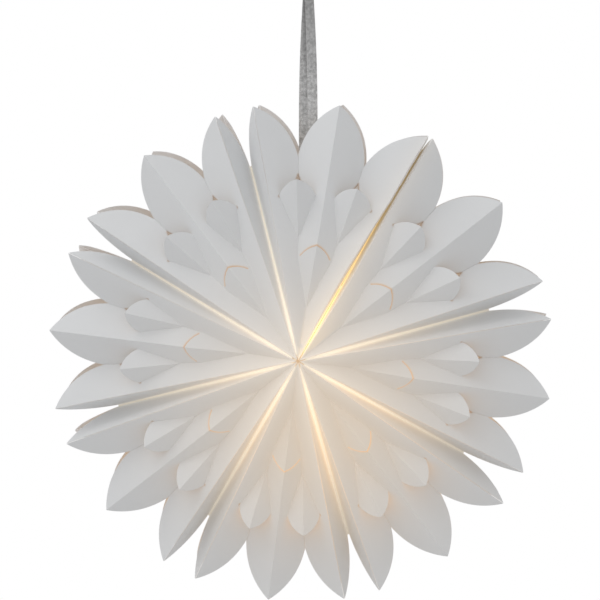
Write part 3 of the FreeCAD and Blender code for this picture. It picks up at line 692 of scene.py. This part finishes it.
def leaf_mesh(size, front):
    """One leaf as a mesh in the star's frame, pointing along +X, front or rear."""
    leaf = Leaf(size)
    points, faces, insets, cuts = [], [], [], []
    for panel in leaf.panels():
        panel_points, panel_faces, panel_insets, panel_cuts = panel_mesh(
            *leaf.outline(panel), size.grain)
        first = len(points)
        points += panel_points
        insets += panel_insets
        cuts += panel_cuts
        for face in panel_faces:
            a, b, c = (first + index for index in face)
            upright = (points[b] - points[a]).cross(points[c] - points[a]).z > 0.0
            faces.append((a, b, c) if upright == front else (a, c, b))
    way = -1.0 if front else 1.0
    mesh = new_mesh("leaf", [(p.x, way * p.z, p.y) for p in points], faces)
    place = mesh.attributes.new("leaf_place", "FLOAT_VECTOR", "POINT")
    place.data.foreach_set("vector", [number for p in points for number in p])
    keep_values(mesh, "inset", insets)
    keep_values(mesh, "cut_distance", cuts)
    return mesh


# ---------------------------------------------------------------- Geometry Nodes

def new_tree(name, inputs):
    """A Geometry Nodes tree with a geometry input and output and the named inputs."""
    tree = bpy.data.node_groups.new(name, "GeometryNodeTree")
    tree.interface.new_socket("Geometry", in_out="INPUT", socket_type="NodeSocketGeometry")
    for label, kind in inputs.items():
        tree.interface.new_socket(label, in_out="INPUT", socket_type="NodeSocket" + kind)
    tree.interface.new_socket("Geometry", in_out="OUTPUT", socket_type="NodeSocketGeometry")
    start = tree.nodes.new("NodeGroupInput")
    sockets = {s.name: Sock(tree, s) for s in start.outputs if s.name}
    return tree, sockets


def kept(tree, geometry, name, value, domain="POINT", selection=True):
    """Keeps a number on the mesh under a name."""
    return node(tree, "GeometryNodeStoreNamedAttribute",
                {"domain": domain, "data_type": "FLOAT"},
                {"Geometry": geometry, "Name": name, "Value": value, "Selection": selection})


def named(tree, name, kind="FLOAT"):
    return node(tree, "GeometryNodeInputNamedAttribute", {"data_type": kind}, {"Name": name})


def shifted(tree, geometry, offset):
    return node(tree, "GeometryNodeSetPosition", None, {"Geometry": geometry, "Offset": offset})


def scaled(tree, vector, factor):
    return node(tree, "ShaderNodeVectorMath", {"operation": "SCALE"},
                {"Vector": vector, "Scale": factor})


# Shares of the angle between a leaf's middle and its seam.
RIDGE_SHARE = 0.822          # the outer ridge's place
RIDGE_PULL = (0.41, 0.82)    # the extra pull on the ridge starts and is full here
RIDGE_EXTRA = 0.55           # that pull, as a share of the closure pull
PULL_SHARE = 0.8             # share of the closure pull that both petals follow
PULL_DIFFERENCE = 0.1        # one follows it by this much more and the other by this much less
# Distances from the axis in metres, where a swing starts and where it is full.
CLOSURE_OUT = (0.01, 0.11)
RIDGE_PULL_OUT = (0.10, 0.17)
LEAN_OUT = (0.08, 0.20)
LEAN_OFF_SEAM = 0.012        # metres from the seam to the full lean
SAG_FREE = 0.82              # the paper hangs free below this share of the radius
SAG_BLEND = 0.33             # over this share the sag grows to its full turn
WAVE_EDGE = 0.014            # metres from a panel's edge to its full waves
WAVE_MIDDLE = 0.42           # the noise's middle value
EDGE_LIGHT = 0.35            # share of the inner side's light on the paper's cut edge


def closure_swing(tree, pull, half_segment):
    """Turns the ridges on both sides of the closing seam towards it, more and more outwards."""
    along, across, _ = parts_of(tree, named(tree, "leaf_place", "FLOAT_VECTOR"))
    turn = node(tree, "ShaderNodeMath", {"operation": "ARCTAN2"}, [across, along])
    side = named(tree, "closing_side")
    from_middle = turn * side / half_segment
    rise = ((from_middle + 1.0) / (1.0 + RIDGE_SHARE)).clamped()
    fall = ((1.0 - from_middle) / (1.0 - RIDGE_SHARE)).clamped()
    whole_petal = rise * fall * ramp(along, *CLOSURE_OUT)
    at_ridge = ramp(from_middle, *RIDGE_PULL) * fall * ramp(along, *RIDGE_PULL_OUT)
    uneven = PULL_SHARE - side * PULL_DIFFERENCE
    return (whole_petal + at_ridge * RIDGE_EXTRA) * side * uneven * pull


def sag_swing(tree, centre, sag):
    """Turns the paper downwards at the star's sides, away from the rod that carries it."""
    place = node(tree, "GeometryNodeInputPosition")
    out = node(tree, "ShaderNodeVectorMath", {"operation": "SUBTRACT"}, [place, centre])
    right, _, up = parts_of(tree, out)
    reach = (right * right + up * up).math("SQRT")
    free = ((SAG_FREE - up / reach) / SAG_BLEND).clamped()
    return right / reach * free * sag * -1.0


def sag_turn(turn, sag):
    """The same turn for a whole rib, whose angle from +X is given."""
    free = min(1.0, max(0.0, (SAG_FREE - math.sin(turn)) / SAG_BLEND))
    return -math.cos(turn) * free * sag


def lean_swing(tree, lean, half_segment):
    """Turns the petals of one side a little, and leaves the seams where they are."""
    along, across, _ = parts_of(tree, named(tree, "leaf_place", "FLOAT_VECTOR"))
    off_seam = (along * half_segment.math("SINE")
                - across.math("ABSOLUTE") * half_segment.math("COSINE"))
    return ramp(along, *LEAN_OUT) * ramp(off_seam, 0.0, LEAN_OFF_SEAM) * lean


def swung_offset(tree, centre, swing):
    """The way each point goes when it turns round the star's axis."""
    place = node(tree, "GeometryNodeInputPosition")
    turned = node(tree, "ShaderNodeVectorRotate", {"rotation_type": "Y_AXIS"},
                  {"Vector": place, "Center": centre, "Angle": swing * -1.0})
    return node(tree, "ShaderNodeVectorMath", {"operation": "SUBTRACT"}, [turned, place])


def leaf_ring(tree, given, step):
    """The leaf once in each segment, with the two leaves at the closing seam marked."""
    dots = node(tree, "GeometryNodePoints", None,
                {"Count": given["Segments"], "Position": given["Centre"]})
    index = node(tree, "GeometryNodeInputIndex")
    turn = given["First Angle"] - step * index
    spin = node(tree, "ShaderNodeCombineXYZ", None, [0.0, turn * -1.0, 0.0])
    first = 1.0 - index.math("MINIMUM", 1.0)
    second = index.math("COMPARE", 1.0, 0.1)
    dots = kept(tree, dots, "closing_side", second - first)
    ring = node(tree, "GeometryNodeInstanceOnPoints", None,
                {"Points": dots, "Instance": given["Geometry"], "Rotation": spin})
    return node(tree, "GeometryNodeRealizeInstances", None, [ring])


def waved(tree, sheet, given):
    """Lifts the paper in slow waves that fade out towards the panels' edges."""
    place = node(tree, "GeometryNodeInputPosition")
    cloud = node(tree, "ShaderNodeTexNoise", {"noise_dimensions": "4D"},
                 {"Vector": place, "W": given["Seed"], "Scale": 1.0 / given["Wave Size"],
                  "Detail": 1.0})
    wave = ramp(named(tree, "inset"), 0.0, WAVE_EDGE) * (cloud - WAVE_MIDDLE) * 2.0
    lift = wave * given["Wave Height"] - given["Paper"] * 0.5
    normal = node(tree, "GeometryNodeInputNormal")
    return shifted(tree, sheet, scaled(tree, normal, lift))


def thickened(tree, sheet, paper):
    """Gives the sheet its thickness and marks the faces that the lamp lights from inside."""
    outer = tree.nodes.new("GeometryNodeExtrudeMesh")
    tree.links.new(sheet.socket, outer.inputs["Mesh"])
    tree.links.new(paper.socket, outer.inputs["Offset Scale"])
    outer.inputs["Individual"].default_value = False
    back = node(tree, "GeometryNodeFlipFaces", None, [sheet])
    back = kept(tree, back, "inner", 1.0, "FACE")
    front = kept(tree, Sock(tree, outer.outputs["Mesh"]), "inner", EDGE_LIGHT, "FACE",
                 selection=Sock(tree, outer.outputs["Side"]))
    both = tree.nodes.new("GeometryNodeJoinGeometry")
    for part in (front, back):
        tree.links.new(part.socket, both.inputs["Geometry"])
    return node(tree, "GeometryNodeMergeByDistance", None,
                {"Geometry": Sock(tree, both.outputs[0]), "Distance": MERGE_DISTANCE})


def star_tree():
    """Turns one leaf into a ring of leaves, swings and waves the paper and gives it thickness."""
    tree, given = new_tree("star_of_leaves", {
        "Segments": "Int", "First Angle": "Float", "Centre": "Vector", "Paper": "Float",
        "Wave Height": "Float", "Wave Size": "Float", "Seed": "Float", "Closure Pull": "Float",
        "Sag": "Float", "Lean": "Float", "Material": "Material"})
    step = 2.0 * math.pi / given["Segments"]
    half_segment = step * 0.5
    sheet = leaf_ring(tree, given, step)
    swing = (closure_swing(tree, given["Closure Pull"], half_segment)
             + sag_swing(tree, given["Centre"], given["Sag"])
             + lean_swing(tree, given["Lean"], half_segment))
    sheet = shifted(tree, sheet, swung_offset(tree, given["Centre"], swing))
    whole = thickened(tree, waved(tree, sheet, given), given["Paper"])
    finish_tree(tree, whole, given["Material"])
    return tree


def finish_tree(tree, geometry, surface):
    """Ends a tree with Realize Instances and Set Material."""
    real = node(tree, "GeometryNodeRealizeInstances", None, [geometry])
    done = node(tree, "GeometryNodeSetMaterial", None, {"Geometry": real, "Material": surface})
    end = tree.nodes.new("NodeGroupOutput")
    tree.links.new(done.socket, end.inputs[0])


def grown(name, mesh, tree, values):
    """Runs a tree on a mesh and keeps the result as a plain mesh object."""
    obj = added(name, mesh)
    modifier = obj.modifiers.new("nodes", "NODES")
    modifier.node_group = tree
    for item in tree.interface.items_tree:
        if item.in_out == "INPUT" and item.name in values:
            modifier[item.identifier] = values[item.name]
    obj.update_tag()
    result = evaluated(obj)
    obj.modifiers.remove(modifier)
    obj.data = result
    result.name = name
    return obj


def make_leaves(name, nodes, size, front, tree, surface):
    """The ring of front or rear leaves."""
    values = {
        "Segments": size.segments, "First Angle": size.first_angle, "Centre": STAR_CENTRE,
        "Paper": size.paper, "Wave Height": size.wave_height, "Wave Size": size.wave_size,
        "Seed": float(size.seed + (0 if front else 7)), "Closure Pull": size.closure_pull,
        "Sag": size.sag, "Lean": 0.0 if front else size.rear_lean,
        "Material": surface,
    }
    obj = grown(name, welded(leaf_mesh(size, front)), tree, values)
    mark_closing_seam(obj.data, size)
    obj.data.shade_smooth()
    obj.data.set_sharp_from_angle(angle=math.radians(14.0))
    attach(obj, STAR_BODY)
    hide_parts(*nodes)
    return obj


def welded(mesh):
    """Joins the panels along their creases."""
    return reworked(mesh, lambda work: bmesh.ops.remove_doubles(
        work, verts=work.verts, dist=WELD_DISTANCE))


def mark_closing_seam(mesh, size):
    """Marks the paper beside the closing seam, where more and warmer light leaves."""
    seam_turn = size.first_angle - math.pi / size.segments
    values = []
    for vertex in mesh.vertices:
        place = vertex.co - STAR_CENTRE
        turn = math.atan2(place.z, place.x) - seam_turn
        values.append(1.0 if abs(turn) < math.pi / size.segments else 0.0)
    keep_values(mesh, "closing", values)


# ---------------------------------------------------------------- ribbon

# A strand from the knot down: metres to the side, share of the way to the front or the rear,
# and metres below the knot.
STRAND = ((0.0, 0.3, 0.0), (0.0008, 0.35, 0.02), (0.0030, 0.5, 0.065), (0.0042, 0.8, 0.11),
          (0.0044, 1.0, 0.16))
STRAND_END = ((0.0044, 0.002), (0.0022, 0.0))    # to the side and over the turn round the rod
KNOT_STEPS = 96
KNOT_WIDTH = 0.0062          # the ribbon is crushed narrow and thick in the knot
KNOT_THICKNESS = 0.0016
KNOT_SPREAD = 0.62           # shares of the knot's box that the ribbon's middle line fills
KNOT_DEPTH = 0.55
KNOT_TILT = 0.35             # how far the ribbon leans forwards in the knot
STEP_ASIDE = Vector((0.01, 0.0, 0.0))    # keeps the width's direction from vanishing
ARCH_STEPS = 16              # steps of the loop over the hook


def spline_points(route):
    """Points along the smooth NURBS line through a route's control points."""
    curve = bpy.data.curves.new("route", "CURVE")
    curve.dimensions = "3D"
    spline = curve.splines.new("NURBS")
    spline.points.add(len(route) - 1)
    for control, place in zip(spline.points, route):
        control.co = (*place, 1.0)
    spline.order_u = 3
    spline.use_endpoint_u = True
    spline.resolution_u = 10
    obj = added("route", curve)
    points = [vertex.co.copy() for vertex in evaluated(obj).vertices]
    bpy.data.objects.remove(obj)
    return points


def band_section(half_steps=10, edge_power=0.5, face_power=0.6):
    """A flat outline with rounded edges and slightly domed faces, within 1 each way."""
    section = []
    for step in range(2 * half_steps):
        turn = math.pi * step / half_steps
        wide, deep = math.cos(turn), math.sin(turn)
        section.append((math.copysign(abs(wide) ** edge_power, wide),
                        math.copysign(abs(deep) ** face_power, deep)))
    return section


def velvet_band(name, surface, centres, across, width, thickness, closed=False):
    """A soft flat band along the centres, with its width along each across."""
    section = band_section()
    points, faces = [], []
    count = len(centres)
    for index, centre in enumerate(centres):
        before = centres[index - 1] if index or closed else centre
        after = centres[(index + 1) % count] if index < count - 1 or closed else centre
        along = (after - before).normalized()
        side = across[index] - along * across[index].dot(along)
        side.normalize()
        up = along.cross(side)
        for wide, deep in section:
            points.append(centre + side * (wide * width / 2.0) + up * (deep * thickness / 2.0))
    ring = len(section)
    for index in range(count if closed else count - 1):
        here, there = index * ring, ((index + 1) % count) * ring
        for step in range(ring):
            following = (step + 1) % ring
            faces.append((here + step, here + following, there + following, there + step))
    if not closed:
        faces.append(tuple(reversed(range(ring))))
        faces.append(tuple(range((count - 1) * ring, count * ring)))
    mesh = reworked(new_mesh(name, points, faces),
                    lambda work: bmesh.ops.recalc_face_normals(work, faces=work.faces))
    mesh.shade_smooth()
    mesh.materials.append(surface)
    return added(name, mesh)


# ---------------------------------------------------------------- operators

def settings(context):
    scene = context.scene
    return scene.leaf_settings, scene.paper_finish, scene.ribbon_settings, scene.stage_settings


def repaint(names, surface):
    """Gives CAD nodes that stay in view their finish."""
    for name in names:
        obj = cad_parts[name]
        obj.data.materials.clear()
        obj.data.materials.append(surface)


class STAR_OT_leaves(bpy.types.Operator):
    """Makes the front and rear leaves of pleated paper"""
    bl_idname = "star.leaves"
    bl_label = "Leaves"

    def execute(self, context):
        leaf, finish, _, _ = settings(context)
        tree = star_tree()
        surface = paper_material(leaf, finish)
        for side in ("front", "rear"):
            nodes = ["%s_leaf_%d" % (side, number + 1) for number in range(leaf.segments)]
            make_leaves(side + "_leaves", nodes, leaf, side == "front", tree, surface)
        return {"FINISHED"}


class STAR_OT_ribs(bpy.types.Operator):
    """Hangs the seam ribs in the paper and finishes the closing ribs"""
    bl_idname = "star.ribs"
    bl_label = "Ribs"

    def execute(self, context):
        leaf, finish, _, _ = settings(context)
        self.hang_ribs(leaf, rib_material("rib_card", finish.glow))
        repaint(["closing_rib_upper", "closing_rib_lower"],
                rib_material("closing_rib_card", finish.closure_glow))
        return {"FINISHED"}

    def hang_ribs(self, leaf, surface):
        """Turns each seam's rib down with the paper that it joins."""
        names = sorted(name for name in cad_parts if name.startswith("seam_rib"))
        points, faces = [], []
        for name in names:
            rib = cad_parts[name]
            places = [rib.matrix_world @ vertex.co - STAR_CENTRE for vertex in rib.data.vertices]
            middle = sum(places, Vector()) / len(places)
            swing = sag_turn(math.atan2(middle.z, middle.x), leaf.sag)
            turn = Matrix.Rotation(-swing, 3, "Y")
            first = len(points)
            points += [STAR_CENTRE + turn @ place for place in places]
            faces += [[first + index for index in face.vertices] for face in rib.data.polygons]
        mesh = new_mesh("seam_ribs", points, faces)
        mesh.materials.append(surface)
        obj = added("seam_ribs", mesh)
        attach(obj, STAR_BODY)
        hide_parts(*names)


class STAR_OT_ribbon(bpy.types.Operator):
    """Makes the velvet ribbon with its knot and its loop over the hook"""
    bl_idname = "star.ribbon"
    bl_label = "Ribbon"

    def execute(self, context):
        _, _, ribbon, _ = settings(context)
        velvet = velvet_material(ribbon)
        self.make_strands(ribbon, velvet)
        self.make_knot(velvet)
        self.make_loop(ribbon, velvet)
        return {"FINISHED"}

    def make_strands(self, ribbon, velvet):
        """One length from the knot down in front, round the rod and up behind."""
        low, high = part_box("hanging_ribbon")
        top = high.z
        turn_z = low.z + ribbon.thickness / 2.0
        front, rear = low.y + ribbon.thickness / 2.0, high.y - ribbon.thickness / 2.0
        strand = [(x, out, top - drop) for x, out, drop in STRAND]
        strand += [(x, 1.0, turn_z + rise) for x, rise in STRAND_END]
        route = [(x, front * out, z) for x, out, z in strand]
        route += [(-x, rear * out, z) for x, out, z in reversed(strand)]
        points = spline_points(route)
        across = []
        for point in points:
            rise = max(0.0, 1.0 - (top - point.z) / ribbon.twist_length)
            turn = ribbon.twist * rise
            across.append(Vector((math.cos(turn), math.sin(turn), 0.0)))
        obj = velvet_band("velvet_ribbon", velvet, points, across, ribbon.width,
                          ribbon.thickness)
        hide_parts("hanging_ribbon")
        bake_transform(obj)

    def make_knot(self, velvet):
        """The knot: a trefoil of the same ribbon, pulled tight."""
        low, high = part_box("ribbon_knot")
        middle, half = (low + high) / 2.0, (high - low) / 2.0
        centres, across = [], []
        for step in range(KNOT_STEPS):
            turn = 2.0 * math.pi * step / KNOT_STEPS
            wide = (math.sin(turn) + 2.0 * math.sin(2.0 * turn)) / 3.0
            tall = (math.cos(turn) - 2.0 * math.cos(2.0 * turn)) / 3.0
            deep = -math.sin(3.0 * turn)
            centres.append(middle + Vector((wide * half.x * KNOT_SPREAD,
                                            deep * half.y * KNOT_DEPTH,
                                            tall * half.z * KNOT_SPREAD)))
            across.append(Vector((wide, KNOT_TILT * deep, tall)) + STEP_ASIDE)
        obj = velvet_band("velvet_knot", velvet, centres, across, KNOT_WIDTH, KNOT_THICKNESS,
                          closed=True)
        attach(obj, "ribbon_knot")
        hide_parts("ribbon_knot")

    def make_loop(self, ribbon, velvet):
        """The short loop over the hook's wire."""
        low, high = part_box("ribbon_loop")
        half_width = (high.x - low.x - ribbon.thickness) / 2.0
        middle = (low.x + high.x) / 2.0
        bend_z = high.z - ribbon.thickness / 2.0 - half_width
        centres = [Vector((middle - half_width, 0.0, low.z)),
                   Vector((middle - half_width, 0.0, (low.z + bend_z) / 2.0))]
        for step in range(ARCH_STEPS + 1):
            turn = math.pi * (1.0 - step / ARCH_STEPS)
            centres.append(Vector((middle + half_width * math.cos(turn), 0.0,
                                   bend_z + half_width * math.sin(turn))))
        centres += [Vector((middle + half_width, 0.0, (low.z + bend_z) / 2.0)),
                    Vector((middle + half_width, 0.0, low.z))]
        across = [Vector((0.0, 1.0, 0.0))] * len(centres)
        obj = velvet_band("velvet_loop", velvet, centres, across, high.y - low.y,
                          ribbon.thickness)
        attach(obj, "ribbon_loop")
        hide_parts("ribbon_loop")


# CAD nodes that stay in view: their names, then their material's name, tint and roughness,
# and the colour of its light if it has any.
METAL_NODES = (
    ("closing_magnets", "nickel", (0.74, 0.73, 0.71), 0.28),
    ("hanger_rod lamp_bracket ceiling_hook", "zinc_steel", (0.60, 0.60, 0.62), 0.38),
    ("rod_end_beads", "bead_brass", (0.72, 0.55, 0.26), 0.34),
    ("socket_sleeve centre_contact", "socket_brass", (0.75, 0.58, 0.28), 0.3),
    ("lamp_screw_cap lamp_contact", "cap_aluminium", (0.78, 0.78, 0.80), 0.33),
)
MOULDED_NODES = (
    ("holder_cap holder_shell gland_nut lamp_collar", "holder_plastic",
     (0.82, 0.82, 0.80), 0.45, None),
    ("holder_core", "fired_clay", (0.84, 0.82, 0.77), 0.8, None),
    ("lamp_cap_insulator", "dark_glass", (0.03, 0.03, 0.035), 0.2, None),
    ("lamp_globe", "opal_globe", (0.92, 0.88, 0.80), 0.35, (1.0, 0.72, 0.40)),
    ("led_plate", "coated_board", (0.85, 0.85, 0.84), 0.5, None),
    ("led_chips", "phosphor", (0.90, 0.72, 0.20), 0.4, (1.0, 0.85, 0.45)),
)


class STAR_OT_fittings(bpy.types.Operator):
    """Finishes the hook, the rod, the magnets, the lamp and its holder"""
    bl_idname = "star.fittings"
    bl_label = "Rod, lamp and holder"

    def execute(self, context):
        for names, name, tint, rough in METAL_NODES:
            repaint(names.split(), metal_material(name, tint, rough))
        for names, name, tint, rough, glow in MOULDED_NODES:
            repaint(names.split(), moulded_material(name, tint, rough, glow))
        return {"FINISHED"}


AIM_OFFSET = Vector((0.0017, -0.060, 0.0600))    # from the star's centre to the view's middle
SENSOR_WIDTH = 36.0          # millimetres
FLOOR_STEPS = 64
FLOOR_RADIUS = 1.5
FLOOR_Z = -1.3
STAGE_LAMPS = {              # offset from the star's centre, size, share of the key's power
    "key_lamp": (Vector((-0.75, -0.55, 1.25)), 1.1, 1.0),
    "front_lamp": (Vector((-0.2, -2.2, 0.5)), 1.4, 0.45),
}


class STAR_OT_stage(bpy.types.Operator):
    """Sets the camera, the white surroundings, the floor and the lamps"""
    bl_idname = "star.stage"
    bl_label = "Stage"

    def execute(self, context):
        _, _, _, stage = settings(context)
        context.scene.view_settings.view_transform = "Standard"
        self.make_camera(context, stage)
        self.make_world(context, stage)
        self.make_floor(stage)
        self.make_lamps(stage)
        return {"FINISHED"}

    def make_camera(self, context, stage):
        """The star's point stands low in the frame, where the photograph has it."""
        aim = STAR_CENTRE + AIM_OFFSET
        back = Vector((math.sin(stage.azimuth) * math.cos(stage.elevation),
                       -math.cos(stage.azimuth) * math.cos(stage.elevation),
                       math.sin(stage.elevation)))
        data = bpy.data.cameras.new("camera")
        camera = added("camera", data)
        camera.location = aim + back * stage.distance
        camera.rotation_euler = (-back).to_track_quat("-Z", "Y").to_euler()
        data.sensor_width = SENSOR_WIDTH
        data.lens = data.sensor_width * stage.distance / stage.field
        context.scene.camera = camera

    def make_world(self, context, stage):
        """Soft light all round, and pure white where the camera, metal and glass look."""
        world = bpy.data.worlds.new("white_surroundings")
        world.use_nodes = True
        tree = world.node_tree
        tree.nodes.clear()
        rays = tree.nodes.new("ShaderNodeLightPath")
        seen = Sock(tree, rays.outputs["Is Camera Ray"])
        for kind in ("Is Glossy Ray", "Is Transmission Ray"):
            seen = seen.math("MAXIMUM", Sock(tree, rays.outputs[kind]))
        height = parts_of(tree, node(tree, "ShaderNodeTexCoord", output=0))[2]
        above = (height * 0.5 + 0.5).clamped()
        sky = mix(tree, above, (0.84, 0.84, 0.84), (1.0, 1.0, 1.0))
        light = node(tree, "ShaderNodeBackground", None, {"Color": sky, "Strength": stage.world})
        white = node(tree, "ShaderNodeBackground", None,
                     {"Color": (1.0, 1.0, 1.0, 1.0), "Strength": 1.0})
        both = node(tree, "ShaderNodeMixShader", None, [seen, light, white])
        out = tree.nodes.new("ShaderNodeOutputWorld")
        tree.links.new(both.socket, out.inputs["Surface"])
        context.scene.world = world

    def make_floor(self, stage):
        """A pale floor far below the star."""
        turns = [2.0 * math.pi * step / FLOOR_STEPS for step in range(FLOOR_STEPS)]
        ring = [(FLOOR_RADIUS * math.cos(turn), FLOOR_RADIUS * math.sin(turn), FLOOR_Z)
                for turn in turns]
        mesh = new_mesh("floor", ring, [tuple(range(FLOOR_STEPS))])
        floor = added("floor", mesh)
        surface = material("pale_floor", {"Roughness": 0.9}, lambda tree: {
            "Base Color": tinted(tree, stage.floor, spread=0.01, scale=3.0)})
        mesh.materials.append(surface)

    def make_lamps(self, stage):
        """One large soft lamp above and to the left, and a weak one in front."""
        for name, (offset, width, share) in STAGE_LAMPS.items():
            data = bpy.data.lights.new(name, "AREA")
            data.size = width
            data.energy = stage.key * share
            lamp = added(name, data)
            lamp.location = STAR_CENTRE + offset
            lamp.rotation_euler = (-offset).to_track_quat("-Z", "Y").to_euler()


STEPS = (STAR_OT_leaves, STAR_OT_ribs, STAR_OT_ribbon, STAR_OT_fittings, STAR_OT_stage)


class STAR_PT_panel(bpy.types.Panel):
    """Lists the lantern's operators"""
    bl_idname = "STAR_PT_panel"
    bl_label = "Star Lantern"
    bl_space_type = "VIEW_3D"
    bl_region_type = "UI"
    bl_category = "Star Lantern"

    def draw(self, context):
        for step in STEPS:
            self.layout.operator(step.bl_idname)


GROUPS = {"leaf_settings": LeafSettings, "paper_finish": PaperFinish,
          "ribbon_settings": RibbonSettings, "stage_settings": StageSettings}
CLASSES = (*GROUPS.values(), *STEPS, STAR_PT_panel)


def register():
    for cls in CLASSES:
        bpy.utils.register_class(cls)
    for name, group in GROUPS.items():
        setattr(bpy.types.Scene, name, bpy.props.PointerProperty(type=group))


def unregister():
    for name in GROUPS:
        delattr(bpy.types.Scene, name)
    for cls in reversed(CLASSES):
        bpy.utils.unregister_class(cls)


def main():
    register()
    for step in STEPS:
        group, name = step.bl_idname.split(".")
        getattr(getattr(bpy.ops, group), name)()


if __name__ == "__main__":
    main()
